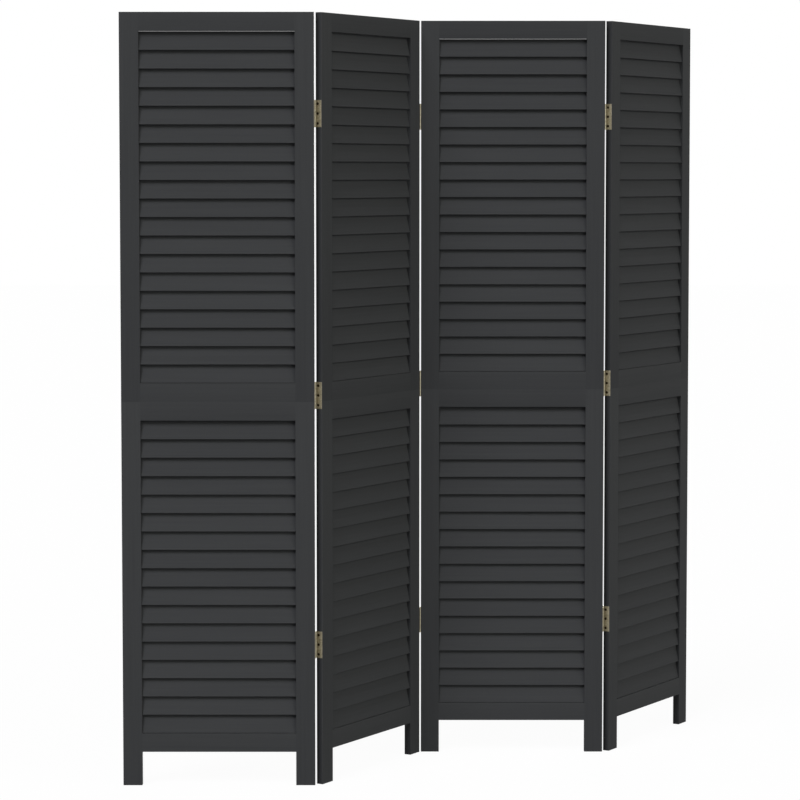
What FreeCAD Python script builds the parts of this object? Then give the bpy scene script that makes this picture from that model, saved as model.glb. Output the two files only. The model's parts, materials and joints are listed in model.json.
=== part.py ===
# A free-standing folding screen of four louvred panels, hinged edge to edge into a zigzag.
#
# Each panel is two half frames, one on top of the other: two stiles, two rails and a row of sloped
# slats to each half. The stiles of the lower half run on below its bottom rail as legs.
# Lengths are in millimetres and angles in degrees. The screen stands on z = 0 with +Z up, the fronts
# of the first and third panels face -Y, and the origin is at the middle of its footprint.
import FreeCAD, Part
import os
import Sketcher

SIZES = {
    # Frame
    "panel_width": 449.0,
    "half_height": 900.0,
    "frame_depth": 16.5,
    "stile_width": 44.5,
    "rail_height": 43.5,
    "leg_height": 79.0,
    "stile_arris": 0.8,
    # Slats, with the lower edge near the front and the upper edge near the back
    "upper_slat_count": 19,
    "lower_slat_count": 17,
    "slat_width": 44.2,
    "slat_thickness": 4.0,
    "slat_setback": 2.2,
    "slat_back_margin": 1.2,
    "slat_arris": 0.6,
    "slot_depth": 6.0,
    "slot_clearance": 0.1,
    # Free height in each row of slats, and the part of it under the lowest slat
    "row_play": 0.5,
    "settled_row_gap": 0.1,
    "raised_row_gap": 0.3,
    # Hidden joints of the frame
    "tenon_length": 12.0,
    "tenon_thickness": 6.0,
    "tenon_shoulder": 8.0,
    "dowel_diameter": 8.0,
    "dowel_length": 50.0,
    "glue_gap": 0.1,
    # Hinges: the places of their middles, then the leaf, the knuckles and the pin
    "top_hinge_drop": 233.0,
    "middle_hinge_rise": 14.0,
    "bottom_hinge_height": 329.5,
    "hinge_length": 62.5,
    "sheet_thickness": 1.0,
    "leaf_margin": 0.6,
    "knuckle_count": 5,
    "knuckle_clearance": 0.2,
    "notch_clearance": 0.3,
    "pin_diameter": 1.7,
    "pin_clearance": 0.05,
    "pin_proud": 0.6,
    "pin_arris": 0.3,
    "pin_offset": 0.4,
    # Countersunk screws
    "screw_diameter": 4.5,
    "screw_length": 16.0,
    "screw_tip_length": 4.0,
    "screw_tip_diameter": 0.8,
    "screw_clearance": 0.05,
    "screw_from_pin": 6.7,
    "leaf_screw_margin": 8.55,
    # Flat plates that join the two halves of a free end
    "plate_height": 54.0,
    "plate_width": 12.0,
    "plate_corner": 2.0,
    "plate_recess": 0.8,
    "plate_clearance": 0.1,
    "plate_screw_margin": 7.0,
    "seam_screw_margin": 8.5,
    # How far each panel is turned from the one before it
    "fold_angle": 59.3,
}
RAIL_DOWEL_SHARES = (0.35, 0.65)

# Expressions in the sheet's names that more than one piece uses.
WIDTH = "Sizes.panel_width"
DEPTH = "Sizes.frame_depth"
STILE = "Sizes.stile_width"
SEAM = "Sizes.half_height"
OPENING_WIDTH = "(Sizes.panel_width - 2 * Sizes.stile_width)"
SLAT_DIAGONAL = "sqrt(Sizes.slat_width ^ 2 + Sizes.slat_thickness ^ 2)"
SLAT_ROOM = "(Sizes.frame_depth - Sizes.slat_setback - Sizes.slat_back_margin)"
SLAT_TILT = f"(asin({SLAT_ROOM} / {SLAT_DIAGONAL}) - atan(Sizes.slat_thickness / Sizes.slat_width))"
SLAT_RISE = f"(Sizes.slat_width * cos({SLAT_TILT}) + Sizes.slat_thickness * sin({SLAT_TILT}))"
BORE_RADIUS = "(Sizes.pin_diameter / 2 + Sizes.pin_clearance)"
BARREL_RADIUS = f"({BORE_RADIUS} + Sizes.sheet_thickness)"
KNUCKLE_LENGTH = "(Sizes.hinge_length / Sizes.knuckle_count)"
HEAD_DIAMETER = "(Sizes.screw_diameter + 2 * Sizes.sheet_thickness)"
SHANK_LENGTH = "(Sizes.screw_length - Sizes.sheet_thickness - Sizes.screw_tip_length)"
SCREW_SPACING = "(Sizes.hinge_length / 2 - Sizes.leaf_screw_margin)"
PLATE_SCREW_REACH = "(Sizes.plate_height / 2 - Sizes.plate_screw_margin)"
SCREW_REACH = "(Sizes.screw_length - Sizes.sheet_thickness)"
DOWEL_INSET = f"({SCREW_REACH} + Sizes.stile_width - Sizes.tenon_length) / 2"
DOWEL_HOLE_DIAMETER = "Sizes.dowel_diameter + 2 * Sizes.glue_gap"
DOWEL_HOLE_DEPTH = "Sizes.dowel_length / 2 + Sizes.glue_gap"
COUNTERSINK_TAPER = 45.0

# Each half's foot, the height of its opening, its number of slats and the feet of its rails.
HALVES = {
    "upper": {
        "bottom": SEAM,
        "height": SEAM,
        "opening_bottom": "(Sizes.half_height + Sizes.rail_height)",
        "opening_height": "(Sizes.half_height - 2 * Sizes.rail_height)",
        "slat_count": "Sizes.upper_slat_count",
        "rails": {
            "top_rail": "(2 * Sizes.half_height - Sizes.rail_height)",
            "upper_mid_rail": SEAM,
        },
    },
    "lower": {
        "bottom": "0",
        "height": SEAM,
        "opening_bottom": "(Sizes.leg_height + Sizes.rail_height)",
        "opening_height": "(Sizes.half_height - Sizes.leg_height - 2 * Sizes.rail_height)",
        "slat_count": "Sizes.lower_slat_count",
        "rails": {
            "lower_mid_rail": "(Sizes.half_height - Sizes.rail_height)",
            "bottom_rail": "Sizes.leg_height",
        },
    },
}
HINGE_HEIGHTS = (
    "(2 * Sizes.half_height - Sizes.top_hinge_drop)",
    "(Sizes.half_height + Sizes.middle_hinge_rise)",
    "Sizes.bottom_hinge_height",
)
PLATE_SCREW_HEIGHTS = (
    f"{SEAM} + {PLATE_SCREW_REACH}",
    f"{SEAM} + Sizes.seam_screw_margin",
    f"{SEAM} - Sizes.seam_screw_margin",
    f"{SEAM} - {PLATE_SCREW_REACH}",
)
# The lines of hinges in order, and the side of the panels that their pins stand on.
HINGE_LINES = {"first_hinges": "back", "middle_hinges": "front", "last_hinges": "back"}
PANEL_COUNT = len(HINGE_LINES) + 1
PIN_DEPTH = {"back": "(Sizes.frame_depth + Sizes.pin_offset)", "front": "(-Sizes.pin_offset)"}

document = FreeCAD.newDocument("folding_screen")
sheet = document.addObject("Spreadsheet::Sheet", "Sizes")
for row, (alias, value) in enumerate(SIZES.items(), start=1):
    sheet.set(f"A{row}", alias)
    sheet.set(f"B{row}", str(value))
    sheet.setAlias(f"B{row}", alias)
document.recompute()

sub_parts = {}


def number(expression):
    """The value of an expression in the sheet's names."""
    result = sheet.evalExpression(expression)
    return float(getattr(result, "Value", result))


def new_body(label, panel):
    """An empty body for one sub-part, in the frame of the panel that it belongs to."""
    body = document.addObject("PartDesign::Body", label)
    body.Label = label
    body.AllowCompound = True
    sub_parts[label] = (body, panel)
    return body


def new_sketch(body, plane, offset="0", shift="0"):
    """A sketch on an origin plane, moved along the plane's normal and along the sketch's own x."""
    planes = {feature.Role: feature for feature in body.Origin.OriginFeatures}
    sketch = body.newObject("Sketcher::SketchObject", "sketch")
    sketch.AttachmentSupport = [(planes[plane], "")]
    sketch.MapMode = "FlatFace"
    sketch.setExpression("AttachmentOffset.Base.z", offset)
    sketch.setExpression("AttachmentOffset.Base.x", shift)
    return sketch


def hold_point(sketch, geometry, point, place):
    """Holds one point of a sketch at a place that is given by two expressions."""
    for kind, expression in zip(("DistanceX", "DistanceY"), place):
        datum = Sketcher.Constraint(kind, -1, 1, geometry, point, number(expression))
        index = sketch.addConstraint(datum)
        sketch.setExpression(f"Constraints[{index}]", expression)


def draw_outline(sketch, corners):
    """Draws a closed outline of straight sides whose corners are pairs of expressions."""
    points = [FreeCAD.Vector(number(across), number(up), 0) for across, up in corners]
    first = sketch.GeometryCount
    for index, point in enumerate(points):
        sketch.addGeometry(Part.LineSegment(point, points[(index + 1) % len(points)]), False)
    for index, corner in enumerate(corners):
        following = first + (index + 1) % len(corners)
        sketch.addConstraint(Sketcher.Constraint("Coincident", first + index, 2, following, 1))
        hold_point(sketch, first + index, 1, corner)


def draw_rectangle(sketch, left, bottom, right, top):
    draw_outline(sketch, [(left, bottom), (right, bottom), (right, top), (left, top)])


def draw_circles(sketch, centres, diameter):
    """Draws equal circles whose centres are pairs of expressions."""
    for centre in centres:
        middle = FreeCAD.Vector(number(centre[0]), number(centre[1]), 0)
        circle = Part.Circle(middle, FreeCAD.Vector(0, 0, 1), number(diameter) / 2)
        geometry = sketch.addGeometry(circle, False)
        hold_point(sketch, geometry, 3, centre)
        index = sketch.addConstraint(Sketcher.Constraint("Diameter", geometry, number(diameter)))
        sketch.setExpression(f"Constraints[{index}]", diameter)


def add_pad(body, sketch, length, backward=False, taper=0.0):
    pad = body.newObject("PartDesign::Pad", "pad")
    pad.Profile = sketch
    pad.Reversed = backward
    pad.TaperAngle = taper
    pad.setExpression("Length", length)
    return pad


def add_pocket(body, sketch, length, forward=False, taper=0.0):
    """Cuts against the sketch's normal, or along it where forward is set."""
    pocket = body.newObject("PartDesign::Pocket", "pocket")
    pocket.Profile = sketch
    pocket.Reversed = forward
    pocket.TaperAngle = taper
    pocket.setExpression("Length", length)
    return pocket


def add_turning(body, sketch):
    """Turns a sketch right round its own upright axis."""
    turning = body.newObject("PartDesign::Revolution", "turning")
    turning.Profile = sketch
    turning.ReferenceAxis = (sketch, ["V_Axis"])
    return turning


def add_column(body, original, travel, count):
    """Repeats a feature straight up, with the last copy the whole travel above the first."""
    uprights = {feature.Role: feature for feature in body.Origin.OriginFeatures}
    column = body.newObject("PartDesign::LinearPattern", "column")
    column.Originals = [original]
    column.Direction = (uprights["Z_Axis"], [""])
    column.setExpression("Length", travel)
    column.setExpression("Occurrences", count)
    body.Tip = column


def slat_point(along, into, lowest):
    """A point of the lowest slat's section: so far up along the slat, and so far in from its front."""
    across = f"Sizes.slat_setback + ({along}) * sin({SLAT_TILT}) + ({into}) * cos({SLAT_TILT})"
    up = f"{lowest} + ({along}) * cos({SLAT_TILT}) + (Sizes.slat_thickness - ({into})) * sin({SLAT_TILT})"
    return across, up


def lowest_slat(panel, half):
    """The lowest slat's foot. The rows of the first and third panels have settled a little."""
    gap = "Sizes.settled_row_gap" if panel % 2 else "Sizes.raised_row_gap"
    return f"{HALVES[half]['opening_bottom']} + {gap}"


def row_travel(half):
    """The height from the lowest slat of a row to the highest."""
    return f"{HALVES[half]['opening_height']} - Sizes.row_play - {SLAT_RISE}"


def hinge_screw_places(side):
    """Where the screws of one line of hinges go in, as pairs of depth and height."""
    sign = "-" if side == "back" else "+"
    depth = f"{PIN_DEPTH[side]} {sign} Sizes.screw_from_pin"
    places = []
    for height in HINGE_HEIGHTS:
        places.append((depth, f"{height} + {SCREW_SPACING}"))
        places.append((depth, height))
        places.append((depth, f"{height} - {SCREW_SPACING}"))
    return places


def is_free_end(panel, end):
    """Whether a panel's end is one of the screen's two outer edges, which carry no hinges."""
    return (panel, end) in ((1, "left"), (PANEL_COUNT, "right"))


def seat_plane(panel, end):
    """How far across a panel the metal on one of its ends seats: on the end, or in its recess."""
    recess = "Sizes.plate_recess" if is_free_end(panel, end) else "0"
    return recess if end == "left" else f"{WIDTH} - {recess}"


def screw_places(panel, end):
    """The places of all the screws that go into a panel's end."""
    if is_free_end(panel, end):
        return [(f"{DEPTH} / 2", height) for height in PLATE_SCREW_HEIGHTS]
    line = panel - 2 if end == "left" else panel - 1
    return hinge_screw_places(list(HINGE_LINES.values())[line])


def in_half(places, half):
    """The screws that go into one half: the seam parts them."""
    above = half == "upper"
    return [place for place in places if (number(place[1]) > number(SEAM)) == above]


def make_stile(panel, half, end):
    """An upright, with slots for the slats, mortises for the rails and holes for dowel and screws."""
    shape = HALVES[half]
    left_end = end == "left"
    body = new_body(f"panel_{panel}_{half}_{end}_stile", panel)
    outer, inner = ("0", STILE) if left_end else (WIDTH, f"{WIDTH} - {STILE}")
    eased = "Sizes.stile_arris" if left_end else f"{WIDTH} - Sizes.stile_arris"

    section = new_sketch(body, "XY_Plane", shape["bottom"])
    draw_outline(section, [
        (inner, "0"),
        (eased, "0"),
        (outer, "Sizes.stile_arris"),
        (outer, f"{DEPTH} - Sizes.stile_arris"),
        (eased, DEPTH),
        (inner, DEPTH),
    ])
    add_pad(body, section, shape["height"])

    mortises = new_sketch(body, "YZ_Plane", inner)
    for foot in shape["rails"].values():
        draw_rectangle(
            mortises,
            f"({DEPTH} - Sizes.tenon_thickness) / 2 - Sizes.glue_gap",
            f"{foot} + Sizes.tenon_shoulder - Sizes.glue_gap",
            f"({DEPTH} + Sizes.tenon_thickness) / 2 + Sizes.glue_gap",
            f"{foot} + Sizes.rail_height - Sizes.tenon_shoulder + Sizes.glue_gap",
        )
    add_pocket(body, mortises, "Sizes.tenon_length + Sizes.glue_gap", forward=not left_end)

    dowel_hole = new_sketch(body, "XY_Plane", SEAM)
    draw_circles(dowel_hole, [dowel_places()[0 if left_end else -1]], DOWEL_HOLE_DIAMETER)
    add_pocket(body, dowel_hole, DOWEL_HOLE_DEPTH, forward=half == "upper")

    if is_free_end(panel, end):
        recess = new_sketch(body, "YZ_Plane", outer)
        draw_plate_outline(recess, "Sizes.plate_clearance")
        add_pocket(body, recess, "Sizes.plate_recess", forward=left_end)
    pilot_holes = new_sketch(body, "YZ_Plane", seat_plane(panel, end))
    places = in_half(screw_places(panel, end), half)
    draw_circles(pilot_holes, places, "Sizes.screw_diameter + 2 * Sizes.screw_clearance")
    add_pocket(body, pilot_holes, f"{SCREW_REACH} + Sizes.screw_clearance", forward=left_end)

    slot = new_sketch(body, "YZ_Plane", inner)
    lowest = lowest_slat(panel, half)
    past_width = "Sizes.slat_width + Sizes.slot_clearance"
    past_thickness = "Sizes.slat_thickness + Sizes.slot_clearance"
    draw_outline(slot, [
        slat_point("-Sizes.slot_clearance", "-Sizes.slot_clearance", lowest),
        slat_point("-Sizes.slot_clearance", past_thickness, lowest),
        slat_point(past_width, past_thickness, lowest),
        slat_point(past_width, "-Sizes.slot_clearance", lowest),
    ])
    cut = add_pocket(body, slot, "Sizes.slot_depth", forward=not left_end)
    add_column(body, cut, row_travel(half), shape["slat_count"])


def dowel_places():
    """Where dowels cross the seam: one in each stile, and the rest along the rails."""
    acrosses = [DOWEL_INSET]
    acrosses += [f"{WIDTH} * {share}" for share in RAIL_DOWEL_SHARES]
    acrosses += [f"{WIDTH} - {DOWEL_INSET}"]
    return [(across, f"{DEPTH} / 2") for across in acrosses]


def make_rail(panel, name, foot):
    """A cross rail with a stub tenon at each end. The two at the seam have holes for dowels."""
    body = new_body(f"panel_{panel}_{name}", panel)
    section = new_sketch(body, "YZ_Plane", STILE)
    draw_rectangle(section, "0", foot, DEPTH, f"{foot} + Sizes.rail_height")
    add_pad(body, section, OPENING_WIDTH)

    tenon = new_sketch(body, "YZ_Plane", f"{STILE} - Sizes.tenon_length")
    draw_rectangle(
        tenon,
        f"({DEPTH} - Sizes.tenon_thickness) / 2",
        f"{foot} + Sizes.tenon_shoulder",
        f"({DEPTH} + Sizes.tenon_thickness) / 2",
        f"{foot} + Sizes.rail_height - Sizes.tenon_shoulder",
    )
    add_pad(body, tenon, f"{OPENING_WIDTH} + 2 * Sizes.tenon_length")

    if "mid" in name:
        dowel_holes = new_sketch(body, "XY_Plane", SEAM)
        draw_circles(dowel_holes, dowel_places()[1:-1], DOWEL_HOLE_DIAMETER)
        add_pocket(body, dowel_holes, DOWEL_HOLE_DEPTH, forward=name == "upper_mid_rail")


def make_slats(panel, half):
    """A row of slats: boards with eased edges, let into the slots of both stiles."""
    body = new_body(f"panel_{panel}_{half}_slats", panel)
    lowest = lowest_slat(panel, half)
    reach = "(Sizes.slot_depth - Sizes.slot_clearance)"
    ease = "Sizes.slat_arris"
    width_eased = "Sizes.slat_width - Sizes.slat_arris"
    thickness_eased = "Sizes.slat_thickness - Sizes.slat_arris"
    section = new_sketch(body, "YZ_Plane", f"{STILE} - {reach}")
    draw_outline(section, [
        slat_point(ease, "0", lowest),
        slat_point("0", ease, lowest),
        slat_point("0", thickness_eased, lowest),
        slat_point(ease, "Sizes.slat_thickness", lowest),
        slat_point(width_eased, "Sizes.slat_thickness", lowest),
        slat_point("Sizes.slat_width", thickness_eased, lowest),
        slat_point("Sizes.slat_width", ease, lowest),
        slat_point(width_eased, "0", lowest),
    ])
    board = add_pad(body, section, f"{OPENING_WIDTH} + 2 * {reach}")
    add_column(body, board, row_travel(half), HALVES[half]["slat_count"])


def make_dowels(panel):
    """The dowels that line up the two halves of a panel."""
    body = new_body(f"panel_{panel}_dowels", panel)
    section = new_sketch(body, "XY_Plane", f"{SEAM} - Sizes.dowel_length / 2")
    draw_circles(section, dowel_places(), "Sizes.dowel_diameter")
    add_pad(body, section, "Sizes.dowel_length")


def make_screws(panel):
    """All the countersunk screws that one panel takes, heads flush with the metal that they hold."""
    body = new_body(f"panel_{panel}_screws", panel)
    tip_taper = "-atan((Sizes.screw_diameter - Sizes.screw_tip_diameter) / 2 / Sizes.screw_tip_length)"
    for end in ("left", "right"):
        seat = seat_plane(panel, end)
        places = screw_places(panel, end)
        inward = end == "right"
        sign = "-" if inward else "+"
        heads = new_sketch(body, "YZ_Plane", seat)
        draw_circles(heads, places, "Sizes.screw_diameter")
        add_pad(body, heads, "Sizes.sheet_thickness", backward=not inward, taper=COUNTERSINK_TAPER)
        shanks = new_sketch(body, "YZ_Plane", seat)
        draw_circles(shanks, places, "Sizes.screw_diameter")
        add_pad(body, shanks, SHANK_LENGTH, backward=inward)
        tips = new_sketch(body, "YZ_Plane", f"{seat} {sign} {SHANK_LENGTH}")
        draw_circles(tips, places, "Sizes.screw_diameter")
        point = add_pad(body, tips, "Sizes.screw_tip_length", backward=inward)
        point.setExpression("TaperAngle", tip_taper)


def draw_plate_outline(sketch, margin):
    """A joining plate's outline with its corners cut, drawn larger all round by the margin."""
    near = f"({DEPTH} - Sizes.plate_width) / 2 - {margin}"
    far = f"({DEPTH} + Sizes.plate_width) / 2 + {margin}"
    low = f"{SEAM} - Sizes.plate_height / 2 - {margin}"
    high = f"{SEAM} + Sizes.plate_height / 2 + {margin}"
    corner = "Sizes.plate_corner"
    draw_outline(sketch, [
        (f"{near} + {corner}", low),
        (f"{far} - {corner}", low),
        (far, f"{low} + {corner}"),
        (far, f"{high} - {corner}"),
        (f"{far} - {corner}", high),
        (f"{near} + {corner}", high),
        (near, f"{high} - {corner}"),
        (near, f"{low} + {corner}"),
    ])


def sink_screw_holes(body, panel, end):
    """Countersunk holes through the metal on a panel's end, widest on the side away from the wood."""
    left_end = end == "left"
    sign = "-" if left_end else "+"
    holes = new_sketch(body, "YZ_Plane", f"{seat_plane(panel, end)} {sign} Sizes.sheet_thickness")
    draw_circles(holes, screw_places(panel, end), HEAD_DIAMETER)
    add_pocket(body, holes, "Sizes.sheet_thickness", forward=left_end, taper=-COUNTERSINK_TAPER)


def make_joining_plate(panel, end):
    """The plate let into a free end of the screen, across the seam of its two halves."""
    body = new_body(f"panel_{panel}_joining_plate", panel)
    section = new_sketch(body, "YZ_Plane", seat_plane(panel, end))
    draw_plate_outline(section, "0")
    add_pad(body, section, "Sizes.sheet_thickness", backward=end == "left")
    sink_screw_holes(body, panel, end)


def knuckle_ends(height, index):
    """The lower and upper end of one knuckle. The outermost run flush with the leaf's ends."""
    last = int(number("Sizes.knuckle_count")) - 1
    bottom = f"{height} - Sizes.hinge_length / 2"
    low = f"{bottom} + {index} * {KNUCKLE_LENGTH}"
    high = f"{bottom} + {index + 1} * {KNUCKLE_LENGTH}"
    if index > 0:
        low += " + Sizes.knuckle_clearance / 2"
    if index < last:
        high += " - Sizes.knuckle_clearance / 2"
    return low, high


def comb_corners(side, height, own_knuckles):
    """A leaf's outline: its free edge, and a pin edge with notches for the other leaf's knuckles."""
    pin = PIN_DEPTH[side]
    if side == "back":
        free = "Sizes.leaf_margin"
        notch = f"{pin} - {BARREL_RADIUS} - Sizes.notch_clearance"
    else:
        free = f"{DEPTH} - Sizes.leaf_margin"
        notch = f"{pin} + {BARREL_RADIUS} + Sizes.notch_clearance"
    bottom = f"{height} - Sizes.hinge_length / 2"
    top = f"{height} + Sizes.hinge_length / 2"
    pin_edge = []
    for index in own_knuckles:
        low, high = knuckle_ends(height, index)
        pin_edge += [(notch, low), (pin, low), (pin, high), (notch, high)]
    last = int(number("Sizes.knuckle_count")) - 1
    pin_edge = pin_edge[1:] if own_knuckles[0] == 0 else [(notch, bottom)] + pin_edge
    pin_edge = pin_edge[:-1] if own_knuckles[-1] == last else pin_edge + [(notch, top)]
    return [(free, bottom)] + pin_edge + [(free, top)]


def make_leaves(line, side, panel, end):
    """One side of a line of hinges: flat leaves whose knuckles are rolled round the pins."""
    left_end = end == "left"
    body = new_body(f"{line}_{'right' if left_end else 'left'}_leaves", panel)
    knuckles = range(1 if left_end else 0, int(number("Sizes.knuckle_count")), 2)
    seat = seat_plane(panel, end)
    sign = "-" if left_end else "+"

    plates = new_sketch(body, "YZ_Plane", seat)
    for height in HINGE_HEIGHTS:
        draw_outline(plates, comb_corners(side, height, knuckles))
    add_pad(body, plates, "Sizes.sheet_thickness", backward=left_end)

    rings = new_sketch(body, "YZ_Plane", f"{seat} {sign} {BARREL_RADIUS}", shift=PIN_DEPTH[side])
    for height in HINGE_HEIGHTS:
        for index in knuckles:
            low, high = knuckle_ends(height, index)
            draw_rectangle(rings, BORE_RADIUS, low, BARREL_RADIUS, high)
    add_turning(body, rings)
    sink_screw_holes(body, panel, end)


def make_pins(line, side, panel):
    """The pins of one line of hinges, with eased ends that stand a little proud of the barrels."""
    body = new_body(f"{line}_pins", panel)
    section = new_sketch(body, "YZ_Plane", f"{WIDTH} + {BARREL_RADIUS}", shift=PIN_DEPTH[side])
    radius = "Sizes.pin_diameter / 2"
    for height in HINGE_HEIGHTS:
        low = f"{height} - Sizes.hinge_length / 2 - Sizes.pin_proud"
        high = f"{height} + Sizes.hinge_length / 2 + Sizes.pin_proud"
        draw_outline(section, [
            ("0", low),
            (f"{radius} - Sizes.pin_arris", low),
            (radius, f"{low} + Sizes.pin_arris"),
            (radius, f"{high} - Sizes.pin_arris"),
            (f"{radius} - Sizes.pin_arris", high),
            ("0", high),
        ])
    add_turning(body, section)


def panel_placements():
    """Each panel's placement, and the places of the pins, with the first panel at the origin."""
    upright = FreeCAD.Vector(0, 0, 1)
    radius = number(BARREL_RADIUS)
    placements = [FreeCAD.Placement()]
    pins = []
    for index, side in enumerate(HINGE_LINES.values()):
        pin_depth = number(PIN_DEPTH[side])
        pin = placements[-1].multVec(FreeCAD.Vector(number(WIDTH) + radius, pin_depth, 0))
        angle = number("Sizes.fold_angle") if index % 2 == 0 else 0.0
        rotation = FreeCAD.Rotation(upright, angle)
        base = pin - rotation.multVec(FreeCAD.Vector(-radius, pin_depth, 0))
        placements.append(FreeCAD.Placement(base, rotation))
        pins.append(pin)
    return placements, pins


for panel in range(1, PANEL_COUNT + 1):
    for half, shape in HALVES.items():
        for end in ("left", "right"):
            make_stile(panel, half, end)
        for name, foot in shape["rails"].items():
            make_rail(panel, name, foot)
        make_slats(panel, half)
    make_dowels(panel)
    make_screws(panel)
make_joining_plate(1, "left")
make_joining_plate(PANEL_COUNT, "right")
for panel, (line, side) in enumerate(HINGE_LINES.items(), start=1):
    make_leaves(line, side, panel, "right")
    make_leaves(line, side, panel + 1, "left")
    make_pins(line, side, panel)

placements, pins = panel_placements()
for body, panel in sub_parts.values():
    body.Placement = placements[panel - 1]
document.recompute()

# The origin goes to the middle of the footprint.
footprint = FreeCAD.BoundBox()
for body, panel in sub_parts.values():
    footprint.add(body.Shape.BoundBox)
centre = FreeCAD.Vector(footprint.Center.x, footprint.Center.y, 0)
for body, panel in sub_parts.values():
    body.Placement = FreeCAD.Placement(body.Placement.Base - centre, body.Placement.Rotation)
document.recompute()

for item in document.Objects:
    if "Invalid" in item.State or "Error" in item.State:
        raise RuntimeError(f"{item.Label} failed: {item.State}")
for label, (body, panel) in sub_parts.items():
    if body.Shape.isNull() or not body.Shape.isValid():
        raise RuntimeError(f"{label} has no valid shape")

os.makedirs("parts", exist_ok=True)
for label, (body, panel) in sub_parts.items():
    body.Shape.exportStep(f"parts/{label}.step")

solid_count = sum(len(body.Shape.Solids) for body, panel in sub_parts.values())
print(f"{len(sub_parts)} sub-parts, {solid_count} solids")
print(f"footprint {footprint.XLength:.3f} by {footprint.YLength:.3f}, height {footprint.ZMax:.3f}")
for line, pin in zip(HINGE_LINES, pins):
    print(f"{line} pins at x {pin.x - centre.x:.4f}, y {pin.y - centre.y:.4f}")
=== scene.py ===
# %% [markdown]
# # A folding louvred screen
# Four louvred panels stand on edge in a zigzag, joined by bronze butt hinges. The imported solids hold
# every size and every joint, so this lesson only dresses them: each visible piece is modelled again
# with the soft edges that sanding and paint leave, and each finish is a material made of nodes. Lengths
# are in metres. +Z is up, and the fronts of the first and third panels face -Y.

# %% Load the solids
import json
import math
import random

import bmesh
import bpy
from mathutils import Matrix, Vector


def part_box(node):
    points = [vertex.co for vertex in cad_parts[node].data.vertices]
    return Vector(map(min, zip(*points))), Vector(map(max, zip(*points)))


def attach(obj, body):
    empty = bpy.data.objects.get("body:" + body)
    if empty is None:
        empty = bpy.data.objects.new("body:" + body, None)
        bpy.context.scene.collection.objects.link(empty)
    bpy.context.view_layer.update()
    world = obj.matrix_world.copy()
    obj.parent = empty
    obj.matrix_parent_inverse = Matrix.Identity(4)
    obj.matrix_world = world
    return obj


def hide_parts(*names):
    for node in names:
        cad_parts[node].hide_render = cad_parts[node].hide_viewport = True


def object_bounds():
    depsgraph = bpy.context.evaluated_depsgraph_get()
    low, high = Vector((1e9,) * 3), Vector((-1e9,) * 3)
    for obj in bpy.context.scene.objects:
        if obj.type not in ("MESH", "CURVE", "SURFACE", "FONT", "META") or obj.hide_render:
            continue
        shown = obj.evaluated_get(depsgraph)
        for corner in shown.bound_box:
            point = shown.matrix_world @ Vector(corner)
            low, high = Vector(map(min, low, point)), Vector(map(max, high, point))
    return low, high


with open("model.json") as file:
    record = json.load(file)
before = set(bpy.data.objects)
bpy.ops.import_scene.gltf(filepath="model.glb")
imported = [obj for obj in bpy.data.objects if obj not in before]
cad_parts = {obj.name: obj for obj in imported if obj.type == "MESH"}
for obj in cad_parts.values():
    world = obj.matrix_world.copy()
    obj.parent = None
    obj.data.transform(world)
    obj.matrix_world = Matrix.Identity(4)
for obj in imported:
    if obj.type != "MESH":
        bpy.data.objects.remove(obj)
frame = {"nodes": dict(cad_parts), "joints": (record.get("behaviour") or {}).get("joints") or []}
cad_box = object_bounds()
print(len(frame["nodes"]), "nodes of solids, box")
for corner in cad_box:
    print(tuple(round(x, 4) for x in corner))

# %% [markdown]
# ## The sizes of a panel
# The first panel stands square to the axes, so the boxes of its rails give most of the sizes of all
# four. What a box can't show, such as the length of a hidden tenon, is named here.

# %% Sizes
inner_low, inner_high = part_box("panel_1_top_rail")
TENON_LENGTH = 0.012
STILE_WIDTH = 0.0445
FRAME_DEPTH = inner_high.y - inner_low.y
RAIL_HEIGHT = inner_high.z - inner_low.z
RAIL_LENGTH = inner_high.x - inner_low.x - 2 * TENON_LENGTH
PANEL_WIDTH = RAIL_LENGTH + 2 * STILE_WIDTH
PANEL_HEIGHT = inner_high.z
SEAM = PANEL_HEIGHT / 2
LEG_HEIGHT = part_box("panel_1_bottom_rail")[0].z
PANELS = (1, 2, 3, 4)
print(f"panel {PANEL_WIDTH:.4f} wide, {PANEL_HEIGHT:.4f} high, {FRAME_DEPTH:.4f} deep")

# %% [markdown]
# ## Where the panels stand
# Each panel is modelled in its own frame: x runs across from its left end, y from its front to its back
# and z up. One matrix then carries it to its place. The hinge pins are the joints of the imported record,
# so a panel is hung from its pin: the pin stands a barrel's radius off the panel's end and just past
# its face.

# %% A matrix for each panel
FOLD = math.radians(59.3)
BARREL_RADIUS = 0.0019
PIN_OFFSET = 0.0004
LINES = ("first", "middle", "last")
LINE_SIDES = {"first": 1, "middle": -1, "last": 1}
pins = {joint["name"].split("_")[0]: Vector(joint["pos_m"]) for joint in frame["joints"]}


def pin_depth(line):
    """How far behind a panel's front a line of pins stands: behind its back, or before its front."""
    return FRAME_DEPTH + PIN_OFFSET if LINE_SIDES[line] > 0 else -PIN_OFFSET


def end_line(panel, end):
    """The line of hinges on a panel's end, or nothing at the two outer edges of the screen."""
    index = panel - 2 if end == "left" else panel - 1
    return LINES[index] if 0 <= index < len(LINES) else None


def panel_place(panel):
    """Carries a panel from its own frame to its place, hung from the pin at its left or right end."""
    line = LINES[max(panel - 2, 0)]
    across = PANEL_WIDTH + BARREL_RADIUS if panel == 1 else -BARREL_RADIUS
    turn = Matrix.Rotation(FOLD if panel % 2 == 0 else 0.0, 4, "Z")
    pin = Vector((pins[line].x, pins[line].y, 0.0))
    return Matrix.Translation(pin) @ turn @ Matrix.Translation((-across, -pin_depth(line), 0.0))


places = {panel: panel_place(panel) for panel in PANELS}
for panel in PANELS:
    print("panel", panel, "stands at", [round(x, 4) for x in places[panel].translation])

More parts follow.
